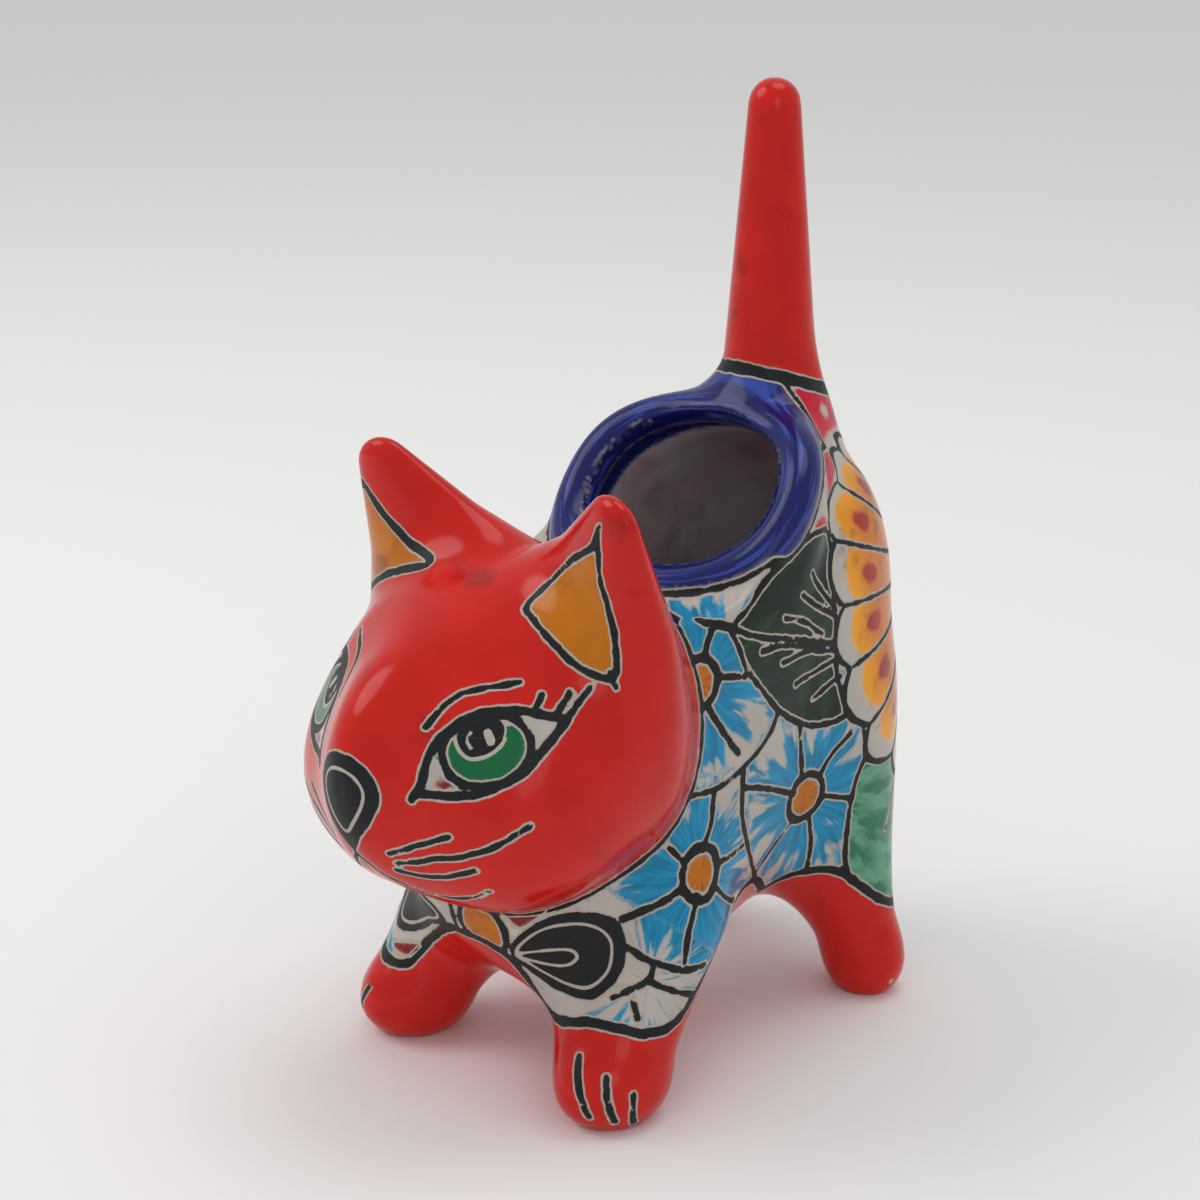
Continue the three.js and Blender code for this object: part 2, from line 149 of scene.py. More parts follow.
# Ear patches, seen from the front
EAR_PATCH = [(38.5, 156), (36, 151.5), (27, 145.7), (21, 139), (19, 134.5), (23.5, 131.8), (31, 127.2),
             (37.7, 122.6), (43.2, 121), (42.6, 129.8), (40.6, 136.8), (38.4, 145.1)]
EAR_SPIKES = {
    "ear top": (0.6, [(37, 152), (39.2, 157.6)]),
    "ear bottom": (0.7, [(42.5, 122), (44, 118.5)]),
}

# Painting of the body. Flowers: middle, and half its width and height in mm.
FLOWERS = {
    "low side": ((49, 61), 4.0, 4.8),
    "haunch": ((101, 67.5), 5.0, 5.6),
    "shoulder": ((48, 109.5), 4.6, 5.4),
    "foreleg": ((37.5, 38), 1.2, 1.2),
    "under the tail": ((180, 58), 5.0, 5.0),
}
BODY_LINES = {
    "low side, up": (0.9, [(50, 66), (53, 72), (54, 80.5)]),
    "low side, right": (0.74, [(54, 61.5), (60, 61), (66, 61.5)]),
    "low side, left": (0.74, [(45, 64.5), (41, 69)]),
    "low side, lower left": (0.98, [(44.5, 59), (39, 56), (32, 53)]),
    "low side, down": (0.82, [(48, 56.5), (46, 49), (45, 41)]),
    "low side, lower right": (0.9, [(53, 57), (57, 52), (62, 48)]),
    "haunch, up": (0.82, [(98, 73), (96, 82), (94.5, 89)]),
    "haunch, upper right": (0.82, [(106, 72), (111, 78), (118.5, 82.5)]),
    "haunch, right": (0.74, [(108, 66.5), (114, 65), (120, 63)]),
    "haunch, left": (0.82, [(95, 69.5), (77, 75), (65, 78)]),
    "haunch, down": (0.74, [(105, 61.5), (110, 52), (114, 43)]),
    "haunch, lower left": (0.57, [(98, 62), (89, 56), (79, 49)]),
    "shoulder, up": (0.98, [(50, 115), (51, 119), (53, 122.5)]),
    "shoulder, right": (0.82, [(54, 110), (60, 109), (65, 108)]),
    "shoulder, down": (0.9, [(51, 103.5), (56, 96), (62.5, 88)]),
    "petal edge, upper": (0.82, [(82, 95.5), (77, 90), (70, 86), (63, 83), (55, 80.5), (46, 80.5)]),
    "petal edge, lower": (0.82, [(65, 83), (65, 76), (66, 68), (70, 59), (77, 50), (86, 44)]),
    "foreleg, across": (0.9, [(33, 46), (37, 43), (41, 41), (45, 39), (50, 38)]),
    "foreleg, left": (0.82, [(38.5, 41), (37.5, 38), (31, 34)]),
    "foreleg, right": (0.82, [(37.5, 38), (42, 35), (47, 31.5)]),
    "foreleg, down": (0.82, [(35, 33), (36, 29)]),
    "leaf stem": (1.07, [(48.5, 125), (54, 123.5), (60, 121.5)]),
    "leaf rib": (0.8, [(60, 121.5), (67, 118.5), (74, 116.5), (92, 113), (114, 108)]),
    "vein 1": (0.72, [(103, 129), (109, 123), (116, 117)]),
    "vein 2": (0.76, [(97, 124), (105, 120), (115, 115.5)]),
    "vein 3": (0.76, [(86, 119.5), (97, 117), (108, 111.5)]),
    "vein 4": (0.74, [(73, 113), (85, 112.5), (109, 108)]),
    "vein 5": (0.74, [(84, 108), (99, 108.5), (114, 106)]),
    "vein 6": (0.76, [(92, 101), (102, 102), (115, 103.5)]),
    "vein 7": (0.7, [(102, 95), (109, 97), (116, 98.5)]),
    "tail side tick": (0.74, [(123, 83), (124, 75)]),
    "sprig rib": (0.41, [(150, 72), (140, 62), (133, 50)]),
    "sprig vein": (0.33, [(146, 60), (138, 52)]),
    "chest stem": (0.98, [(0, 53), (-0.1, 47)]),
    "toe 1": (0.94, [(26, 20), (27, 14), (29, 6.5)]),
    "toe 2": (0.94, [(31.5, 16.5), (32, 11), (33, 4.5)]),
    "toe 3": (0.9, [(36, 12), (36, 8), (36, 2.5)]),
    "back petal 1": (0.74, [(180, 64), (180, 74)]),
    "back petal 2": (0.74, [(175, 55), (168, 47)]),
    "back petal 3": (0.74, [(174, 60), (165, 66)]),
}
DARK_LEAF = [(60, 121.5), (67, 125), (73, 128.5), (80, 132), (91, 136), (99, 138.5), (106, 139.5),
             (115, 138), (117, 133), (115, 125), (115.5, 111), (114.5, 100), (116, 90), (115, 87.5),
             (107, 87), (97, 89), (83, 95), (73, 103), (66, 110), (62, 117)]
SPRIG = [(143, 81), (129, 78), (122, 71), (120, 61), (121, 50), (123, 42), (128, 32), (142, 22), (157, 24),
         (164, 40), (163, 58), (158, 72), (150, 79)]
MAGENTA = [(117, 148), (129, 157), (141, 163), (150, 169), (165, 171), (180, 171), (180, 159), (160, 158.5),
           (146, 158.5), (137, 156), (133, 152), (125, 149), (119, 146)]
MAGENTA_DOT = ((154, 163.5), 1.9)
PINK_CORNER = [(110, 143), (104, 140), (118, 138)]
CHEST_PETAL = [(11, 42), (12, 46), (16, 52), (20, 55), (24, 55.5), (29, 54), (32, 50.5), (33, 45), (32, 39),
               (28, 33.5), (24, 32.5), (18, 33.5), (13, 38)]
CHEST_PETAL_EDGE = [(12, 42), (14, 46.5), (18, 51), (23, 52.3), (27, 51), (29.6, 48), (30.2, 44),
                    (29.4, 39.5), (26, 35.5), (21.5, 35.5), (17, 37.5), (14, 40)]
CHEST_PESTLE = [(12, 42), (17, 44.3), (22, 45), (23.6, 43), (21.5, 40.6), (17.5, 40.4)]
CHEST_OVAL = [(2.5, 50), (4, 54.5), (8, 55.5), (10.2, 51.5), (10.4, 47), (9, 43.5), (6, 44.5), (3, 47)]
CHEST_RED = [(11.5, 60), (20, 60), (14, 51)]
# The same places on the right side, given as if on the left
RIGHT_CHEST_PETAL = [(3, 46.5), (11, 40.5), (18, 35), (24, 31), (30, 29.5), (33, 33), (34.5, 40), (31, 48),
                     (20, 53), (8, 52)]
RIGHT_CHEST_EDGE = [(5, 47), (12, 42), (19, 37), (25, 33), (30, 32.5), (31.5, 37), (30, 45), (20, 50.5),
                    (10, 50.5)]
RIGHT_CHEST_RED = [(29, 25.5), (21, 29), (23, 24.5)]
RIGHT_BAND = [(0, 45), (2, 45), (7, 41), (13, 36), (18, 31.5), (21, 26.5), (23, 22.5), (28, 22), (34, 23.5),
              (43, 26), (47, 30), (52, 36)]
RIGHT_EAR_PATCH = [(18, 137), (29, 140), (38, 145.6), (45, 151.5), (49, 148), (51, 138), (50, 128),
                   (46, 123.4), (35, 129.8), (26, 133.6)]

# Height in mm of the black band over the red legs and belly, by degrees round the body
BAND = [(0, 45), (4, 45), (7, 44), (10, 41), (12, 35), (14, 27.5), (17, 25), (20, 25), (27, 27.5), (33, 27),
        (38, 25.5), (43, 26), (47, 30), (52, 36), (60, 43), (70, 46.5), (80, 46.5), (90, 42.5), (97, 39),
        (101, 38.5), (108, 41), (114, 42), (119, 42), (123, 40), (127, 35), (131, 30), (138, 26), (150, 25),
        (160, 29), (170, 36), (180, 40)]
BAND_HALF_WIDTH = 1.3
# The toe lines of the right side are cut off above this height
RIGHT_TOE_TOP = 15.5

# Where the skin is plain red and needs no fine mesh. Body: from the sole up to a way under the
# band, and past the toes' angle or height. Head: forehead by x and height, cheek by angle round
# and up, behind a y, under the chin's angle, and this far from the neck. Tail: above a height.
PLAIN = {"sole": 8, "under_band": 4, "toes": (45, 22), "forehead": (13, 122), "cheek": (77, 20),
         "back": -38, "chin": -40, "neck": -6, "tail": 178}
# The ears' fronts lie ahead of both these planes: y at the height of the ear's foot, and rise in y
EAR_FRONTS = ((-46, 0.25), (-40.7, -0.375))
EAR_LOWEST = 112
# Black line in the crease between head and body: its middle is this far onto the body
NECK_LINE = {"away": 1.1, "half_width": 0.75}
# Black ring round the foot of the tail: its height at a place on the tail, and how it falls to the back
TAIL_RING = {"y": 42.0, "height": 173.3, "fall": 0.33, "half_width": 1.7}
# The lip's cobalt runs on behind the mouth to the tail: how far back, and from what height
APRON = {"y": 42.8, "height": 158.0}
# Bare clay where the glaze is worn off the paws: place round the body and radius in mm
WEAR = [((131, 5.0), 1.0), ((129, 2.5), 0.8), ((45, 2.5), 0.9), ((43, 4.0), 0.6)]

# Large flower on the rump: its reach in mm, by degrees up from the horizontal
RUMP_MIDDLE_HEIGHT = 112.0
RUMP_REACH = [(-90, 42), (-60, 58), (-45, 68), (-30, 75), (-16, 74.5), (-2, 72.5), (12, 74.5), (25, 79),
              (36, 69), (46, 62), (61, 50), (90, 42)]
# Width of its petals and place of the first divider, in degrees
RUMP_PETAL = 14.4
RUMP_FIRST = 4.0
# It is kept behind this angle round the body, and between these heights
RUMP_SIDE, RUMP_LEVELS = 95, (60, 168)
# In mm: half the width and height of its red heart, and half the breadth and length of the red
# spots in its petals
RUMP_HEART = (19.0, 12.0)
RUMP_SPOT = (2.7, 4.4)
# Shares of the petals' reach: middle of the spots, outer ends of the orange and of the yellow
SPOT_SHARE, ORANGE_SHARE, YELLOW_SHARE = 0.73, 0.88, 0.91
# Half-widths in mm of the black lines that go round painted areas
LEAF_EDGE, SPRIG_EDGE, RUMP_EDGE, HEART_EDGE = 0.85, 0.8, 1.1, 0.9

# Camera: degrees round from the front, down and of roll, place in metres, and focal length as a
# share of the picture's width
CAMERA_ANGLES = (43.438, 17.529, 0.49)
CAMERA_PLACE = (0.44490, -0.47366, 0.32583)
SENSOR_WIDTH = 36.0
FOCAL_LENGTH_SHARE = 2627 / 1200


def linear(code):
    """An sRGB hex colour as linear red, green and blue."""
    parts = (int(code[start:start + 2], 16) / 255 for start in (1, 3, 5))
    return tuple(part / 12.92 if part <= 0.04045 else ((part + 0.055) / 1.055) ** 2.4 for part in parts)


# The form of the clay, as distances in mm that are negative in it


def smooth_min(a, b, blend):
    """The lesser of two distances, with a fillet where they meet."""
    share = np.clip(0.5 + 0.5 * (b - a) / blend, 0, 1)
    return b + (a - b) * share - blend * share * (1 - share)


def smooth_max(a, b, blend):
    """The greater of two distances, with a rounded edge where they meet."""
    return -smooth_min(-a, -b, blend)


def ellipsoid(p, centre, radii):
    """Distance to an ellipsoid."""
    q = p - centre
    near = np.linalg.norm(q / radii, axis=1)
    return near * (near - 1) / (np.linalg.norm(q / np.square(radii), axis=1) + 1e-9)


def square_round(p, centre, radii, squareness):
    """Distance to a squarish ellipsoid."""
    total = np.sum(np.abs((p - centre) / radii) ** squareness, axis=1)
    return (total ** (1 / squareness) - 1) * np.min(radii)


def round_cone(p, a, b, ra, rb):
    """Distance to a tapering bar with round ends."""
    a, b = np.array(a), np.array(b)
    axis = b - a
    length_sq = axis @ axis
    taper = ra - rb
    slant = length_sq - taper**2
    q = p - a
    along = q @ axis
    past = along - length_sq
    across = np.linalg.norm(q * length_sq - axis * along[:, None], axis=1)
    edge = np.sign(taper) * taper**2 * across**2
    cone = (across * np.sqrt(slant / length_sq) + along * taper) / length_sq - ra
    first = np.sqrt(across**2 + along**2 * length_sq) / length_sq - ra
    cone = np.where(np.sign(along) * slant * along**2 * length_sq < edge, first, cone)
    last = np.sqrt(across**2 + past**2 * length_sq) / length_sq - rb
    return np.where(np.sign(past) * slant * past**2 * length_sq > edge, last, cone)


def mirrored(p):
    """Points of the right side moved to the left."""
    return np.abs(p) * (1, 0, 0) + p * (0, 1, 1)


def ear(side):
    """Distance to the left ear, a round cone squashed along the line it faces."""
    base, tip = np.array(EAR["base"]), np.array(EAR["tip"])
    up = (tip - base) / np.linalg.norm(tip - base)
    turn = math.radians(EAR["turn"])
    facing = np.array((math.sin(turn), -math.cos(turn), EAR["lean"]))
    facing -= facing @ up * up
    facing /= np.linalg.norm(facing)
    spread = (side - base) @ facing * (1 / EAR["flatness"] - 1)
    stretched = side + spread[:, None] * facing
    return round_cone(stretched, base, tip, EAR["wide"], EAR["narrow"]) * EAR["flatness"]


def head_core(p, inset):
    """Distance to skull and cheeks, moved inwards by inset."""
    middle = (0, SKULL["y"], SKULL["z"])
    skull = square_round(p, middle, np.subtract(SKULL["radii"], inset), SKULL["squareness"])
    middle = (CHEEK["x"], CHEEK["y"], CHEEK["z"])
    cheek = ellipsoid(mirrored(p), middle, np.subtract(CHEEK["radii"], inset))
    return smooth_min(skull, cheek, CHEEK["blend"])


def head(p):
    """Distance to the whole head."""
    muzzle = ellipsoid(p, (0, MUZZLE["y"], MUZZLE["z"]), np.array(MUZZLE["radii"]))
    face = smooth_min(head_core(p, 0), muzzle, MUZZLE["blend"])
    return smooth_min(face, ear(mirrored(p)), EAR["blend"])


def trunk(p, inset):
    """Distance to haunch and chest, moved inwards by inset."""
    lumps = [square_round(p, (0, form["y"], form["z"]), np.subtract(form["radii"], inset), TRUNK_SQUARENESS)
             for form in (HAUNCH, CHEST)]
    return smooth_min(*lumps, TRUNK_BLEND)


def mouth_axes(p):
    """Distance outwards from the middle line of the lip, height over its dished plane, and way along it."""
    pitch = math.radians(MOUTH["pitch"])
    y, z = p[:, 1] - MOUTH["y"], p[:, 2] - MOUTH["z"]
    along = y * math.cos(pitch) + z * math.sin(pitch)
    share = np.clip(along / MOUTH["length"], -1.5, 1.5)
    height = z * math.cos(pitch) - y * math.sin(pitch) - MOUTH["dish"] * share**2 + MOUTH["droop"] * share**3
    wide = np.abs(p[:, 0] / MOUTH["width"]) ** MOUTH["squareness"]
    part = (wide + np.abs(along / MOUTH["length"]) ** MOUTH["squareness"]) ** (1 / MOUTH["squareness"]) + 1e-6
    return (part - 1) * np.hypot(p[:, 0], along) / part, height, along


def limb(side, part, inset):
    """Distance to a leg without its paw."""
    foot = (*part["foot"], part["low"] - FOOT_FLAT)
    return round_cone(side, foot, part["top"], part["low"], part["high"]) + inset


def paw(side, part):
    """Distance to a paw."""
    centre = (part["foot"][0], part["foot"][1] - part["forward"], part["paw"][2] - FOOT_FLAT)
    return ellipsoid(side, centre, np.array(part["paw"]))


def torso(p, inset):
    """Distance to trunk, legs and the collar under the lip, moved inwards by inset."""
    side = mirrored(p)
    outwards, height, _ = mouth_axes(p)
    level = smooth_max(trunk(p, inset), height + inset, WALL / 2)
    middle = np.abs(height + COLLAR_DEPTH / 2)
    collar = smooth_max(outwards - WALL / 4, middle - COLLAR_DEPTH / 2, COLLAR_DEPTH / 2)
    form = smooth_min(level, collar + inset, COLLAR_DEPTH)
    form = smooth_min(form, limb(side, FRONT_LEG, inset), LEG_BLEND)
    return smooth_min(form, limb(side, REAR_LEG, inset), LEG_BLEND)


def body(p):
    """Distance to the body with its paws and tail."""
    side = mirrored(p)
    form = smooth_min(torso(p, 0), paw(side, FRONT_LEG), PAW_BLEND)
    form = smooth_min(form, paw(side, REAR_LEG), PAW_BLEND)
    tip = (0, TAIL["y"], TAIL["z"] - TAIL["narrow"])
    return smooth_min(form, round_cone(p, TAIL["base"], tip, TAIL["wide"], TAIL["narrow"]), TAIL["blend"])


def hollow(p):
    """Distance to the empty inside."""
    outwards, height, _ = mouth_axes(p)
    belly = smooth_max(torso(p, WALL), HOLLOW_FLOOR - p[:, 2], WALL)
    inside = smooth_min(belly, head_core(p, WALL), WALL)
    shaft = np.maximum(outwards + MOUTH_LEDGE, np.abs(height) - 3 * WALL)
    return smooth_min(inside, shaft, WALL / 2)


def clay(p):
    """Distance to the whole pot."""
    outwards, height, _ = mouth_axes(p)
    shell = np.maximum(smooth_min(head(p), body(p), CREASE), -hollow(p))
    return smooth_min(shell, np.hypot(outwards, height) - LIP_RADIUS, CREASE)


def slope(field, p):
    """The direction in which a distance grows, and how fast."""
    step = 0.02
    columns = []
    for axis in range(3):
        shift = np.zeros(3)
        shift[axis] = step
        columns.append((field(p + shift) - field(p - shift)) / (2 * step))
    return np.stack(columns, axis=1)


def onto_clay(p):
    """Points moved straight onto the surface of the clay, with the soles kept flat on the ground."""
    p = p.copy()
    sole = p[:, 2] < 0.06
    for _ in range(3):
        grow = slope(clay, p)
        size = np.maximum(np.sum(grow**2, axis=1), 0.1)
        move = np.clip(clay(p) / size, -0.5, 0.5)[:, None] * grow
        p = np.where(sole[:, None], p, p - move)
    p[:, 2] = np.where(sole, 0, np.maximum(p[:, 2], 0))
    return p


# Charts, and how far a point lies from a painted line


def head_chart(p):
    """Degrees round and up from the middle of the head."""
    q = p - np.array(HEAD_MIDDLE)
    return np.stack([np.degrees(np.arctan2(q[:, 0], -q[:, 1])),
                     np.degrees(np.arctan2(q[:, 2], np.hypot(q[:, 0], q[:, 1])))], axis=1)


def front_chart(p):
    """Place as seen from straight ahead."""
    return p[:, [0, 2]]


def body_chart(p):
    """Degrees round the body from the chest, and height."""
    return np.stack([np.degrees(np.arctan2(p[:, 0], BODY_AXIS_Y - p[:, 1])), p[:, 2]], axis=1)


def lift(chart, pairs):
    """The places on the clay that pairs of chart numbers stand for."""
    a, b = np.array(pairs, dtype=float).T
    nought = np.zeros(len(a))
    if chart == "head":
        turn, rise = np.radians(a), np.radians(b)
        out = np.stack([np.sin(turn) * np.cos(rise), -np.cos(turn) * np.cos(rise), np.sin(rise)], axis=1)
        start, field = np.array(HEAD_MIDDLE) + 80 * out, head
    elif chart == "front":
        out = np.tile((0.0, -1.0, 0.0), (len(a), 1))
        start, field = np.stack([a, nought - 130, b], axis=1), head
    else:
        turn = np.radians(a)
        out = np.stack([np.sin(turn), -np.cos(turn), nought], axis=1)
        start, field = np.stack([nought, nought + BODY_AXIS_Y, b], axis=1) + 120 * out, body
    for _ in range(70):
        start = start - np.clip(field(start) * 0.7, 0, 8)[:, None] * out
    return start


def curve(pairs, closed=False, steps=6):
    """A smooth curve through chart points."""
    q = np.array(pairs, dtype=float)
    if closed:
        q = np.concatenate([q[-1:], q, q[:2]])
    else:
        q = np.concatenate([2 * q[:1] - q[1:2], q, 2 * q[-1:] - q[-2:-1]])
    t = np.arange(steps)[:, None] / steps
    spans = []
    for a, b, c, d in zip(q, q[1:], q[2:], q[3:]):
        spans.append(0.5 * (2 * b + (c - a) * t + (2 * a - 5 * b + 4 * c - d) * t**2
                            + (3 * b - a - 3 * c + d) * t**3))
    return np.concatenate([*spans, q[-2:-1]])


def reach(spots, path, margin=8.0):
    """Distance of each spot from a path in space, or FAR where it is well away."""
    near = np.full(len(spots), FAR)
    low, high = path.min(axis=0) - margin, path.max(axis=0) + margin
    picked = np.flatnonzero(np.all((spots > low) & (spots < high), axis=1))
    q = spots[picked]
    best = np.full(len(picked), FAR)
    for a, b in zip(path, path[1:]):
        run = b - a
        share = np.clip((q - a) @ run / max(run @ run, 1e-9), 0, 1)
        best = np.minimum(best, np.linalg.norm(q - a - share[:, None] * run, axis=1))
    near[picked] = best
    return near


def within(places, outline):
    """Whether chart places lie inside a closed outline."""
    inside = np.zeros(len(places), dtype=bool)
    x, y = places.T
    for (ax, ay), (bx, by) in zip(outline, np.roll(outline, -1, axis=0)):
        crosses = (ay > y) != (by > y)
        inside ^= crosses & (x < (bx - ax) * (y - ay) / (by - ay + 1e-12) + ax)
    return inside


def area(spots, places, chart, pairs):
    """Signed distance to the edge of a painted area, negative in it."""
    outline = curve(pairs, closed=True)
    edge = reach(spots, lift(chart, outline))
    return np.where(within(places, outline), -edge, edge)


def layered(under, over, share):
    """Lays one colour over another by a share, which is held between 0 and 1."""
    share = np.clip(share, 0, 1)[:, None]
    return under * (1 - share) + over * share


def blend_colour(under, over, distance, soft=0.5):
    """Lays one colour over another wherever a signed distance is negative."""
    return layered(under, over, 0.5 - distance / (2 * soft))


# The painting


def rump_place(spots):
    """Distance in mm and degrees up from the middle of the rump flower, measured round the haunch."""
    turns = np.linspace(180, 60, 61)
    line = lift("body", [(turn, RUMP_MIDDLE_HEIGHT) for turn in turns])
    run = np.concatenate([[0], np.cumsum(np.linalg.norm(np.diff(line, axis=0), axis=1))])
    turn, height = body_chart(spots).T
    sideways = np.interp(180 - turn, 180 - turns, run)
    upwards = height - RUMP_MIDDLE_HEIGHT
    return np.hypot(sideways, upwards), np.degrees(np.arctan2(upwards, sideways))


def graph(table, angles):
    """Reads a table of pairs at some angles."""
    return np.interp(angles, *np.transpose(table))


def edge_distance(field, p):
    """Distance in mm, along the skin, to where a difference of two distances is nought."""
    return field(p) / np.maximum(np.linalg.norm(slope(field, p), axis=1), 0.35)


def neck_side(p):
    """Negative where the skin belongs to the head, positive where it belongs to the body."""
    return head(p) - body(p)


def lip_side(p):
    """Negative where the skin belongs to the lip."""
    outwards, height, _ = mouth_axes(p)
    shell = np.maximum(smooth_min(head(p), body(p), CREASE), -hollow(p))
    return np.hypot(outwards, height) - LIP_RADIUS - shell


def unpainted(p):
    """Whether the skin is plain red glaze, well away from every painted line."""
    spots = mirrored(p)
    turn, level = body_chart(spots).T
    band = np.minimum(graph(BAND, turn), graph(RIGHT_BAND, turn))
    past_toes = (turn > PLAIN["toes"][0]) | (level > PLAIN["toes"][1])
    belly = (level < band - PLAIN["under_band"]) & (level > PLAIN["sole"]) & past_toes
    round_head, rise = head_chart(spots).T
    forehead = (spots[:, 0] < PLAIN["forehead"][0]) & (level > PLAIN["forehead"][1])
    cheek = (round_head > PLAIN["cheek"][0]) & (rise < PLAIN["cheek"][1])
    back_or_chin = (spots[:, 1] > PLAIN["back"]) | (rise < PLAIN["chin"])
    plain_head = (neck_side(p) < PLAIN["neck"]) & (forehead | cheek | back_or_chin)
    return belly | plain_head | (level > PLAIN["tail"])


def paint_pot(p, look):
    """Every painted value of the skin at points p, as arrays by name."""
    spots = mirrored(p)
    count = len(p)
    outwards, height, along = mouth_axes(p)
    lip = np.hypot(outwards, height)
    crease, seam = edge_distance(neck_side, p), edge_distance(lip_side, p)
    inside = (hollow(p) < INSIDE_DEPTH) & (seam > 0)
    on_head = (crease < 0) & ~inside
    on_body = (crease >= 0) & ~inside
    face, front, coat = head_chart(spots), front_chart(spots), body_chart(spots)
    turn, level = coat.T
    # The ears lean forward, so the plane that parts their fronts from their backs does too
    over_brow = level - EAR["base"][2]
    ahead = spots[:, 1] < np.min([start + slant * over_brow for start, slant in EAR_FRONTS], axis=0)

    line = np.full(count, FAR)
    light = np.full(count, FAR)
    thread = np.full(count, FAR)
    colour = {key: np.array(value) for key, value in look.items()}
    paint = np.tile(colour["ground"], (count, 1))
    brush = paint * 0.9
    cover = np.full(count, 0.3)
    fan = p / 9.0

    def coat_area(pairs):
        return area(spots, coat, "body", pairs)

    def face_area(pairs):
        return area(spots, face, "head", pairs)

    def dot(place, radius):
        return reach(spots, np.repeat(lift("body", [place]), 2, axis=0)) - radius

    def ink(distance, where):
        line[where] = np.minimum(line, distance)[where]

    def draw(table, chart, where):
        for half_width, pairs in table.values():
            ink(reach(spots, lift(chart, curve(pairs))) - half_width, where)

    def scratch(distance, where):
        closer = where & (np.abs(distance) < np.abs(thread))
        thread[closer] = distance[closer]

    def fill(name, over, distance, where, thick=0.45, soft=0.5):
        edge = np.where(where, distance, FAR)
        paint[:] = blend_colour(paint, colour[name], edge, soft)
        brush[:] = blend_colour(brush, colour[over], edge, soft)
        cover[:] = np.where(edge < 0, thick, cover)

    # Turquoise petals: brush strokes that fan out from each flower
    best = np.full(count, FAR)
    for (middle, wide, tall) in FLOWERS.values():
        centre = lift("body", [middle])[0]
        away = spots - centre
        out = np.array((math.sin(math.radians(middle[0])), -math.cos(math.radians(middle[0])), 0.0))
        across = np.array((-out[1], out[0], 0.0))
        u, v = away @ across, away[:, 2]
        gap = np.linalg.norm(away, axis=1)
        nearer = gap < best
        best = np.where(nearer, gap, best)
        round_about = np.arctan2(v, u)
        streak = np.stack([3.4 * np.cos(round_about), 3.4 * np.sin(round_about),
                           gap / 24 + 3 * middle[0]], axis=1)
        fan = np.where((nearer & on_body)[:, None], streak, fan)
        oval = (np.hypot(u / wide, v / tall) - 1) * min(wide, tall)
        oval = np.where(gap < 3 * tall + 4, oval, FAR)
        # The smallest has strokes alone, and no ochre middle
        if wide > 2:
            fill("ochre", "ochre_deep", oval, on_body)
            ink(np.abs(oval - 0.9) - 1.0, on_body)
            cover = np.where(on_body & nearer & (oval > 0), np.clip(0.94 - gap / 50, 0.48, 0.85), cover)
    petals = on_body & (best > 5)
    brush = np.where(petals[:, None], colour["turquoise"], brush)

    # Leaves, magenta patch and the rump flower
    far, rise = rump_place(spots)
    petal = (rise - RUMP_FIRST) / RUMP_PETAL
    across = 2 * np.abs(petal - np.floor(petal) - 0.5)
    edge_reach = graph(RUMP_REACH, rise) * (1 - 0.07 * across**2)
    rump = far - edge_reach
    share = far / edge_reach
    behind = on_body & (turn > RUMP_SIDE) & (level > RUMP_LEVELS[0]) & (level < RUMP_LEVELS[1])
    rump = np.where(behind, rump, FAR)
    fill("dark_leaf", "dark_leaf_deep", coat_area(DARK_LEAF), on_body & (rump > 0))
    fill("sprig", "sprig_light", coat_area(SPRIG), on_body & (rump > 0), 0.5)
    fill("magenta", "magenta_deep", coat_area(MAGENTA), on_body & (rump > 0))
    fill("pink", "magenta", coat_area(PINK_CORNER), on_body, 0.3)
    in_rump = rump < 0
    warm = layered(colour["petal_yellow"], colour["petal_orange"], (ORANGE_SHARE - share) / 0.16)
    petal_paint = layered(colour["ground"], warm, (YELLOW_SHARE - share) / 0.02)
    tangent = across * RUMP_PETAL / 2 * np.pi / 180 * far
    spot = np.hypot(tangent / RUMP_SPOT[0], (share - SPOT_SHARE) * edge_reach / RUMP_SPOT[1])
    angle = np.radians(rise)
    heart_reach = 1 / np.hypot(np.cos(angle) / RUMP_HEART[0], np.sin(angle) / RUMP_HEART[1])
    glow = 0.55 * np.clip((1.5 - spot) / 0.4, 0, 1)
    petal_paint = layered(petal_paint, colour["petal_orange"], glow)
    petal_paint = layered(petal_paint, colour["petal_spot"], (1.1 - spot) / 0.2)
    petal_paint = layered(petal_paint, colour["petal_spot"], heart_reach - far)
    paint = np.where(in_rump[:, None], petal_paint, paint)
    brush = np.where(in_rump[:, None], petal_paint * 0.85, brush)
    cover = np.where(in_rump, 0.4, cover)
    past_divider = np.sin(np.pi * petal) / np.pi * RUMP_PETAL * np.pi / 180 * far
    hair = np.where(behind & in_rump & (far > heart_reach), past_divider, FAR)
    ink(np.abs(rump) - RUMP_EDGE, behind)
    ink(np.abs(far - heart_reach) - HEART_EDGE, behind)
    outside_rump = on_body & (rump > 0)
    for outline, half_width in ((DARK_LEAF, LEAF_EDGE), (SPRIG, SPRIG_EDGE)):
        ink(reach(spots, lift("body", curve(outline, closed=True))) - half_width, outside_rump)
    draw(BODY_LINES, "body", outside_rump)
    pale_dot = np.where(on_body, dot(*MAGENTA_DOT), FAR)
    paint = blend_colour(paint, colour["ground"], pale_dot)
    brush = blend_colour(brush, colour["ground"], pale_dot)

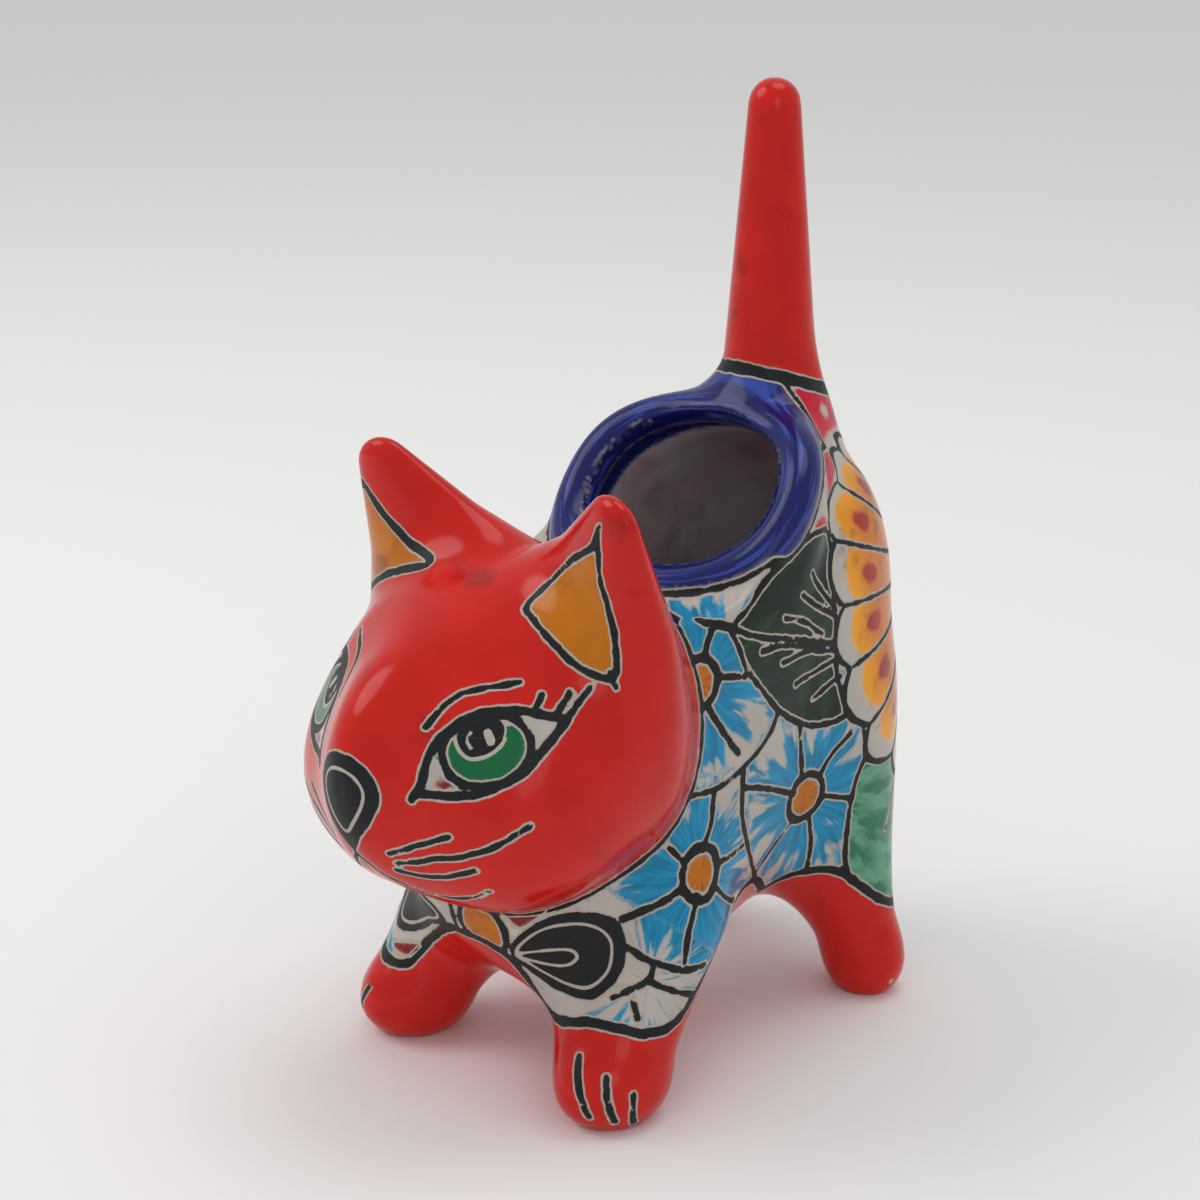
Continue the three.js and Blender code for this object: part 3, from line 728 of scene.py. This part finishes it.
    # Chest: black petals round an ochre oval
    left, right = p[:, 0] >= 0, p[:, 0] < 0
    for half, petal_outline, reds in (
        (left, CHEST_PETAL, CHEST_RED),
        (right, RIGHT_CHEST_PETAL, RIGHT_CHEST_RED),
    ):
        side = on_body & half
        edge = coat_area(petal_outline)
        fill("ground", "ground", edge - 3.0, side)
        ink(edge, side)
        red_edge = coat_area(reds)
        fill("dark_red", "dark_red", red_edge, side, 0.2)
        scratch(red_edge, side)
    inner = np.maximum(coat_area(CHEST_PETAL_EDGE), -coat_area(CHEST_PESTLE))
    scratch(inner, on_body & left)
    scratch(coat_area(RIGHT_CHEST_EDGE), on_body & right)
    edge = coat_area(CHEST_OVAL)
    fill("ochre", "ochre_deep", edge, on_body & left)
    ink(np.abs(edge - 1.0) - 0.95, on_body & left)

    # Black band over the red legs and belly, and the red tail
    right_band = RIGHT_BAND + [point for point in BAND if point[0] > RIGHT_BAND[-1][0]]
    low = on_body & (level < np.where(left, graph(BAND, turn), graph(right_band, turn)))
    band = np.where(left, reach(spots, lift("body", curve(BAND, steps=4))),
                    reach(spots, lift("body", curve(right_band, steps=4)))) - BAND_HALF_WIDTH
    above_ring = level - TAIL_RING["height"] + TAIL_RING["fall"] * (p[:, 1] - TAIL_RING["y"])
    tail = on_body & (above_ring > 0) & (level > APRON["height"])
    red = on_head | low | tail
    toes = {name: BODY_LINES[name] for name in BODY_LINES if name.startswith("toe")}
    line[low] = FAR
    thread[low] = FAR
    draw(toes, "body", low & (left | (level < RIGHT_TOE_TOP)))
    ink(band, on_body)
    ring = np.where(level > APRON["height"], np.abs(above_ring) - TAIL_RING["half_width"], FAR)
    ink(ring, on_body)
    line[tail] = ring[tail]
    paint = np.where(red[:, None], colour["red"], paint)
    brush = np.where(red[:, None], colour["red_deep"], brush)
    cover = np.where(red, 0.34, cover)
    fan = np.where(red[:, None], p / 26.0, fan)

    # Line in the crease between head and body, on the body's side
    line[on_head & (crease < -1)] = FAR
    ink(np.abs(crease - NECK_LINE["away"]) - NECK_LINE["half_width"], ~inside)

    # Face
    eye = face_area(EYE)
    fill("eye_white", "ground", eye, on_head, 0.2)
    fill("iris", "iris_deep", face_area(IRIS), on_head & (eye < 0), 0.4)
    fill("dark_red", "red", face_area(TEAR_DUCT), on_head, 0.3)
    draw(HEAD_LINES, "head", on_head)
    pupil = face_area(PUPIL)
    ink(pupil, on_head)
    ink(face_area(NOSE), on_head)
    scratch(face_area(NOSTRIL), on_head)
    scratch(np.where(face[:, 1] < 17, pupil - 0.45, FAR), on_head)
    for half_width, pairs in GLINTS:
        light[on_head] = np.minimum(light, reach(spots, lift("head", curve(pairs))) - half_width)[on_head]

    # Ears
    on_ear = on_head & ahead & (level > EAR_LOWEST)
    patch = np.where(left, area(spots, front, "front", EAR_PATCH),
                     area(spots, front, "front", RIGHT_EAR_PATCH))
    fill("ochre", "ochre_deep", patch, on_ear)
    ink(np.abs(patch) - np.where(left, 0.85, 1.2), on_ear)
    draw(EAR_SPIKES, "front", on_ear & left)

    # Cobalt lip with streaks that run round it, a black line under it, and the dark inside
    apron = np.where(on_body, np.maximum(p[:, 1] - APRON["y"], APRON["height"] - level), FAR)
    blue = np.where(inside, lip - LIP_RADIUS - 5, np.maximum(np.minimum(seam, apron), above_ring))
    on_lip = blue < 0
    line[on_lip & ~inside] = ring[on_lip & ~inside]
    rest = on_body & (outwards > 0) & (above_ring < 0)
    ink(np.abs(blue - 0.95) - 0.7, rest)
    for spot_worn in WEAR:
        light[low & left] = np.minimum(light, dot(*spot_worn))[low & left]
    line[inside] = FAR
    light[inside] = FAR
    thread[inside] = FAR
    paint = blend_colour(paint, colour["cobalt"], blue)
    brush = blend_colour(brush, colour["cobalt_light"], blue)
    cover = np.where(on_lip, 0.42, cover)
    round_bar = np.arctan2(height, outwards)
    way = np.arctan2(p[:, 0], along)
    bar = np.stack([2.2 * np.cos(round_bar), 2.2 * np.sin(round_bar), 1.1 * way], axis=1)
    fan = np.where(on_lip[:, None], bar, fan)
    dark = inside & ~on_lip
    depth = np.where(inside, -blue, FAR)
    paint = blend_colour(paint, colour["inside"], depth, 0.8)
    brush = blend_colour(brush, colour["inside_warm"], depth, 0.8)
    cover = np.where(dark, 0.5, cover)
    fan = np.where(dark[:, None], p / 40.0, fan)
    return {"paint": paint, "brush": brush, "cover": cover, "fan": fan, "line": line, "light": light,
            "thread": thread, "hair": hair, "dull": dark.astype(float)}


# Meshes and materials


def add_node(tree, kind, settings=(), inputs=()):
    """Adds a node, gives it its settings, and fills or links its inputs."""
    node = tree.nodes.new(kind)
    for name, value in dict(settings).items():
        setattr(node, name, value)
    for key, value in dict(inputs).items():
        if isinstance(value, bpy.types.NodeSocket):
            tree.links.new(value, node.inputs[key])
        else:
            node.inputs[key].default_value = value
    return node


def new_material(name):
    """An empty node material, with its tree and shader."""
    material = bpy.data.materials.new(name)
    material.use_nodes = True
    tree = material.node_tree
    tree.nodes.clear()
    shader = add_node(tree, "ShaderNodeBsdfPrincipled")
    output = add_node(tree, "ShaderNodeOutputMaterial")
    tree.links.new(shader.outputs["BSDF"], output.inputs["Surface"])
    return material, tree, shader


def painted_glaze(sizes, colours):
    """Gloss glaze over painted earthenware: deep, wet-looking colour between dull black lines that
    stand in bare, pale edges, with soft ripples and pinholes in the glass."""
    material, tree, shader = new_material("painted_earthenware_glaze")

    def value(name, output="Fac"):
        return add_node(tree, "ShaderNodeAttribute", {"attribute_name": name}).outputs[output]

    def mixed(factor, a, b):
        node = add_node(tree, "ShaderNodeMix", {"data_type": "RGBA"}, {0: factor, 6: a, 7: b})
        return node.outputs[2]

    def ranged(source, low, high, start=0.0, end=1.0):
        settings = {"interpolation_type": "SMOOTHSTEP"}
        inputs = {"Value": source, "From Min": low, "From Max": high, "To Min": start, "To Max": end}
        return add_node(tree, "ShaderNodeMapRange", settings, inputs).outputs["Result"]

    def noise(vector, scale, detail=2.0):
        inputs = {"Vector": vector, "Scale": scale, "Detail": detail}
        return add_node(tree, "ShaderNodeTexNoise", {}, inputs).outputs["Fac"]

    def sum_of(a, b, operation="ADD"):
        return add_node(tree, "ShaderNodeMath", {"operation": operation}, {0: a, 1: b}).outputs[0]

    def scaled(source, scale):
        inputs = {0: source, "Scale": scale}
        return add_node(tree, "ShaderNodeVectorMath", {"operation": "SCALE"}, inputs).outputs[0]

    def size_of(source):
        return add_node(tree, "ShaderNodeMath", {"operation": "ABSOLUTE"}, {0: source}).outputs[0]

    place = add_node(tree, "ShaderNodeTexCoord").outputs["Object"]
    # Brush strokes about 1.5 mm wide, with a softer tone under them
    strokes = sum_of(noise(value("fan", "Vector"), 1.6, 3.0), value("cover"))
    tone = ranged(noise(value("fan", "Vector"), 2.4), 0.35, 0.65, 0.8, 1.15)
    stroke = scaled(value("brush", "Color"), tone)
    laid = mixed(ranged(strokes, 0.94, 1.06), value("paint", "Color"), stroke)
    # Glaze pools and thins over 12 mm
    pools = ranged(noise(place, 1 / (12 * MM)), 0.3, 0.7, 0.94, 1.05)
    pooled = scaled(laid, pools)
    # The brush wanders, so edges waver by about 0.3 mm every 4 mm
    waver = ranged(noise(place, 1 / (4 * MM), 3.0), 0.2, 0.8, -sizes.waver, sizes.waver)
    hair = sum_of(size_of(value("hair")), sizes.hair, "SUBTRACT")
    line = sum_of(sum_of(value("line"), hair, "MINIMUM"), waver)
    light = sum_of(value("light"), sum_of(waver, 0.5, "MULTIPLY"))
    scratched = sum_of(size_of(value("thread")), sum_of(waver, 0.4, "MULTIPLY"))
    edge = ranged(line, sizes.bare_edge - 0.15, sizes.bare_edge + 0.15, 1.0, 0.0)
    black = ranged(line, -0.12, 0.12, 1.0, 0.0)
    scratch = ranged(scratched, sizes.scratch - 0.1, sizes.scratch + 0.1, 1.0, 0.0)
    thread = sum_of(ranged(light, -0.1, 0.1, 1.0, 0.0), scratch, "MAXIMUM")
    # The black is grained every 0.5 mm
    grain = ranged(noise(place, 1 / (0.5 * MM)), 0.62, 0.75)
    soot = mixed(grain, (*colours.outline, 1.0), (*colours.outline_grey, 1.0))
    edged = mixed(edge, pooled, (*colours.bare, 1.0))
    outlined = mixed(black, edged, soot)
    finished = mixed(thread, outlined, (*colours.bare, 1.0))
    tree.links.new(finished, shader.inputs["Base Color"])
    # Glass on the colours, dull on the lines, and a thin, rough glaze inside
    dullness = mixed(edge, (0.16, 0.16, 0.16, 1.0), (0.45, 0.45, 0.45, 1.0))
    dullness = mixed(value("dull"), dullness, (0.34, 0.34, 0.34, 1.0))
    tree.links.new(dullness, shader.inputs["Roughness"])
    shader.inputs["IOR"].default_value = 1.52
    shader.inputs["Specular IOR Level"].default_value = 0.27
    # Lines lie 0.15 mm lower than the glaze, whose surface ripples every 14 mm
    sunk = ranged(line, -0.3, 0.5)
    ripple = sum_of(noise(place, 1 / (14 * MM), 1.0), 1.6, "MULTIPLY")
    pinholes = ranged(noise(place, 1 / (1.2 * MM)), 0.74, 0.80, 0.0, -0.25)
    relief = sum_of(sum_of(sunk, ripple), pinholes)
    bump = add_node(tree, "ShaderNodeBump", {}, {"Strength": 0.6, "Distance": 0.25 * MM, "Height": relief})
    tree.links.new(bump.outputs["Normal"], shader.inputs["Normal"])
    return material


def fine_skin(sizes):
    """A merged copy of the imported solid, divided finely and drawn onto the smooth form in its box."""
    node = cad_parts["cat_planter"]
    low, high = np.array(cad_box)
    shift = np.array((0, CENTRING, 0))
    mesh = bmesh.new()
    mesh.from_mesh(node.data)
    bmesh.ops.remove_doubles(mesh, verts=mesh.verts, dist=1e-6)

    def places():
        return np.array([vert.co for vert in mesh.verts]) / MM - shift

    def settle():
        for vert, spot in zip(mesh.verts, np.clip((onto_clay(places()) + shift) * MM, low, high)):
            vert.co = spot

    for _ in range(8):
        mesh.verts.index_update()
        p = places()
        outwards, height, _ = mouth_axes(p)
        deep = (hollow(p) < INSIDE_DEPTH) & (np.hypot(outwards, height) > LIP_RADIUS + 9)
        outside = np.where(unpainted(p), sizes.plain_step, sizes.outside_step)
        allowed = np.where(deep, sizes.inside_step, outside)
        long = []
        for edge in mesh.edges:
            a, b = edge.verts
            if edge.calc_length() > min(allowed[a.index], allowed[b.index]):
                long.append(edge)
        if not long:
            break
        bmesh.ops.subdivide_edges(mesh, edges=long, cuts=1)
        bmesh.ops.triangulate(mesh, faces=mesh.faces)
    settle()
    for _ in range(2):
        loose = [vert for vert in mesh.verts if vert.co.z > 0.1 * MM]
        bmesh.ops.smooth_vert(mesh, verts=loose, factor=0.5,
                              use_axis_x=True, use_axis_y=True, use_axis_z=True)
        settle()
    for face in mesh.faces:
        face.smooth = True
    skin = bpy.data.meshes.new("cat_planter_glazed")
    mesh.to_mesh(skin)
    mesh.free()
    return skin, shift


def step_property(name, description, millimetres):
    """A longest edge that the panel shows."""
    return bpy.props.FloatProperty(name=name, description=description, default=millimetres * MM,
                                   min=0.8 * MM, unit="LENGTH", precision=5)


class CatPlanterSizes(bpy.types.PropertyGroup):
    """Sizes that a maker would change."""

    outside_step: step_property("Outside step", "Longest edge of the painted skin", 1.64)
    plain_step: step_property("Plain step", "Longest edge where the skin has no painting", 2.9)
    inside_step: step_property("Inside step", "Longest edge inside the pot", 6)
    bare_edge: bpy.props.FloatProperty(
        name="Bare edge", description="Pale edge beside a black line, in mm", default=0.5, min=0)
    hair: bpy.props.FloatProperty(
        name="Hair line", description="Half the width of the lines between the rump petals, in mm",
        default=0.6, min=0)
    scratch: bpy.props.FloatProperty(
        name="Scratch", description="Half the width of a pale line in the black, in mm", default=0.42, min=0)
    waver: bpy.props.FloatProperty(
        name="Waver", description="How far painted edges waver, in mm", default=0.28, min=0)
    floor_size: bpy.props.FloatProperty(
        name="Floor size", description="Side of the floor", default=9.0, unit="LENGTH")


def colour_property(name, description, code):
    """A colour that the panel shows, from its sRGB hex value."""
    return bpy.props.FloatVectorProperty(name=name, description=description, subtype="COLOR", size=3,
                                         min=0, max=1, default=linear(code))


class CatPlanterColours(bpy.types.PropertyGroup):
    """Colours of the glazes."""

    red: colour_property("Red", "Head, legs and tail", "#C8160A")
    red_deep: colour_property("Deep red", "Where the red glaze is thick", "#BC1207")
    ochre: colour_property("Ochre", "Ears and flower middles", "#BF6E06")
    ochre_deep: colour_property("Deep ochre", "Where the ochre is thick", "#AC5C04")
    turquoise: colour_property("Turquoise", "Brush strokes of the petals", "#1587B2")
    ground: colour_property("Ground", "Grey-white tin glaze under the painting", "#B8B2A8")
    dark_leaf: colour_property("Dark leaf", "Leaf under the lip", "#0F2417")
    dark_leaf_deep: colour_property("Dark leaf shade", "Strokes in that leaf", "#1C3424")
    sprig: colour_property("Sprig", "Green leaf on the haunch", "#2C7653")
    sprig_light: colour_property("Sprig light", "Light strokes in that leaf", "#5C9A7A")
    magenta: colour_property("Magenta", "Patch under the tail", "#C70832")
    magenta_deep: colour_property("Deep magenta", "Strokes in that patch", "#B00A2C")
    pink: colour_property("Pink", "Small corner beside the lip", "#B83A44")
    petal_yellow: colour_property("Petal yellow", "Outer part of the rump petals", "#EE9E04")
    petal_orange: colour_property("Petal orange", "Inner part of the rump petals", "#D07204")
    petal_spot: colour_property("Petal spot", "Red ovals in the rump petals", "#A82414")
    dark_red: colour_property("Dark red", "Small red fills", "#7E1A14")
    iris: colour_property("Iris", "Green of the eyes", "#0A6438")
    iris_deep: colour_property("Deep iris", "Strokes in the green", "#064E2B")
    eye_white: colour_property("Eye white", "White of the eyes", "#B4AEA4")
    cobalt: colour_property("Cobalt", "Lip of the mouth", "#0E1A5E")
    cobalt_light: colour_property("Light cobalt", "Streaks on the lip", "#33469A")
    inside: colour_property("Inside", "Glaze in the hollow", "#AAA6A8")
    inside_warm: colour_property("Inside warm", "Warmer patches in the hollow", "#A89498")
    outline: colour_property("Outline", "Black lines", "#0B0F12")
    outline_grey: colour_property("Outline grain", "Grain in the black lines", "#2A3032")
    bare: colour_property("Bare edge", "Pale edges beside the lines", "#B2AA9E")


class CatPlanterBuildPot(bpy.types.Operator):
    """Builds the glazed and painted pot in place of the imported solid"""

    bl_idname = "cat_planter.build_pot"
    bl_label = "Build Painted Pot"

    def execute(self, context):
        sizes = context.scene.cat_planter_sizes
        colours = context.scene.cat_planter_colours
        skin, shift = fine_skin(sizes)
        spots = np.empty(len(skin.vertices) * 3)
        skin.vertices.foreach_get("co", spots)
        look = {name: tuple(getattr(colours, name)) for name in CatPlanterColours.__annotations__
                if name not in ("outline", "outline_grey", "bare")}
        painted = paint_pot(spots.reshape(-1, 3) / MM - shift, look)

        def store(name, kind, key, values):
            data = skin.attributes.new(name, kind, "POINT").data
            data.foreach_set(key, values.astype(np.float32).ravel())

        for name in ("cover", "line", "light", "thread", "hair", "dull"):
            store(name, "FLOAT", "value", painted[name])
        store("fan", "FLOAT_VECTOR", "vector", painted["fan"])
        for name in ("paint", "brush"):
            rgba = np.concatenate([painted[name], np.ones((len(painted[name]), 1))], axis=1)
            store(name, "FLOAT_COLOR", "color", rgba)
        skin.materials.append(painted_glaze(sizes, colours))
        pot = bpy.data.objects.new("cat_planter_glazed", skin)
        context.collection.objects.link(pot)
        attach(pot, "root")
        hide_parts("cat_planter")
        return {"FINISHED"}


class CatPlanterBuildStage(bpy.types.Operator):
    """Lays a plain pale floor, and sets soft lights and the camera"""

    bl_idname = "cat_planter.build_stage"
    bl_label = "Build Stage"

    def execute(self, context):
        size = context.scene.cat_planter_sizes.floor_size
        sheet = bmesh.new()
        bmesh.ops.create_grid(sheet, x_segments=1, y_segments=1, size=size / 2)
        mesh = bpy.data.meshes.new("floor")
        sheet.to_mesh(mesh)
        sheet.free()
        material, _, shader = new_material("matt_white_card")
        shader.inputs["Base Color"].default_value = (*linear("#F4F4F3"), 1.0)
        shader.inputs["Roughness"].default_value = 0.9
        mesh.materials.append(material)
        floor = bpy.data.objects.new("floor", mesh)
        context.collection.objects.link(floor)

        world = bpy.data.worlds.new("soft_white_room")
        world.use_nodes = True
        background = world.node_tree.nodes["Background"]
        background.inputs["Color"].default_value = (1.0, 1.0, 1.0, 1.0)
        background.inputs["Strength"].default_value = 0.62
        context.scene.world = world
        # Colours show as they are mixed, without a film's softening
        context.scene.view_settings.view_transform = "Standard"
        for name, place, energy, side in (
            ("softbox_left", (-0.9, -0.7, 1.2), 6.0, 1.0),
            ("softbox_right", (1.3, -0.9, 0.8), 1.6, 0.8),
            ("softbox_above", (0.1, 0.3, 1.5), 4.0, 0.9),
        ):
            lamp = bpy.data.lights.new(name, "AREA")
            lamp.energy = energy
            lamp.shape = "DISK"
            lamp.size = side
            light = bpy.data.objects.new(name, lamp)
            light.location = place
            light.rotation_euler = (Vector((0, 0, 0.1)) - Vector(place)).to_track_quat("-Z", "Y").to_euler()
            context.collection.objects.link(light)

        # The camera stands in front of the cat's left shoulder and looks down a little
        turn, fall, roll = (math.radians(angle) for angle in CAMERA_ANGLES)
        ahead = Vector((-math.sin(turn) * math.cos(fall), math.cos(turn) * math.cos(fall), -math.sin(fall)))
        level = Vector((math.cos(turn), math.sin(turn), 0))
        upright = level.cross(ahead)
        right = level * math.cos(roll) + upright * math.sin(roll)
        up = upright * math.cos(roll) - level * math.sin(roll)
        lens = bpy.data.cameras.new("camera")
        lens.sensor_fit = "HORIZONTAL"
        lens.sensor_width = SENSOR_WIDTH
        lens.lens = SENSOR_WIDTH * FOCAL_LENGTH_SHARE
        lens.clip_start = 0.05
        lens.clip_end = 20.0
        camera = bpy.data.objects.new("camera", lens)
        turned = Matrix((right, up, -ahead)).transposed().to_4x4()
        camera.matrix_world = Matrix.Translation(CAMERA_PLACE) @ turned
        context.collection.objects.link(camera)
        context.scene.camera = camera
        return {"FINISHED"}


class CatPlanterPanel(bpy.types.Panel):
    """Lists the planter's steps, sizes and colours"""

    bl_idname = "VIEW3D_PT_cat_planter"
    bl_label = "Cat Planter"
    bl_space_type = "VIEW_3D"
    bl_region_type = "UI"
    bl_category = "Cat Planter"

    def draw(self, context):
        for step in STEPS:
            self.layout.operator(step.bl_idname)
        for group, values in (
            ("cat_planter_sizes", CatPlanterSizes),
            ("cat_planter_colours", CatPlanterColours),
        ):
            box = self.layout.box()
            for name in values.__annotations__:
                box.prop(getattr(context.scene, group), name)


STEPS = (CatPlanterBuildPot, CatPlanterBuildStage)
CLASSES = (CatPlanterSizes, CatPlanterColours, *STEPS, CatPlanterPanel)


def register():
    for item in CLASSES:
        bpy.utils.register_class(item)
    bpy.types.Scene.cat_planter_sizes = bpy.props.PointerProperty(type=CatPlanterSizes)
    bpy.types.Scene.cat_planter_colours = bpy.props.PointerProperty(type=CatPlanterColours)


def unregister():
    del bpy.types.Scene.cat_planter_colours
    del bpy.types.Scene.cat_planter_sizes
    for item in reversed(CLASSES):
        bpy.utils.unregister_class(item)


def main():
    register()
    bpy.ops.cat_planter.build_pot()
    bpy.ops.cat_planter.build_stage()


if __name__ == "__main__":
    main()
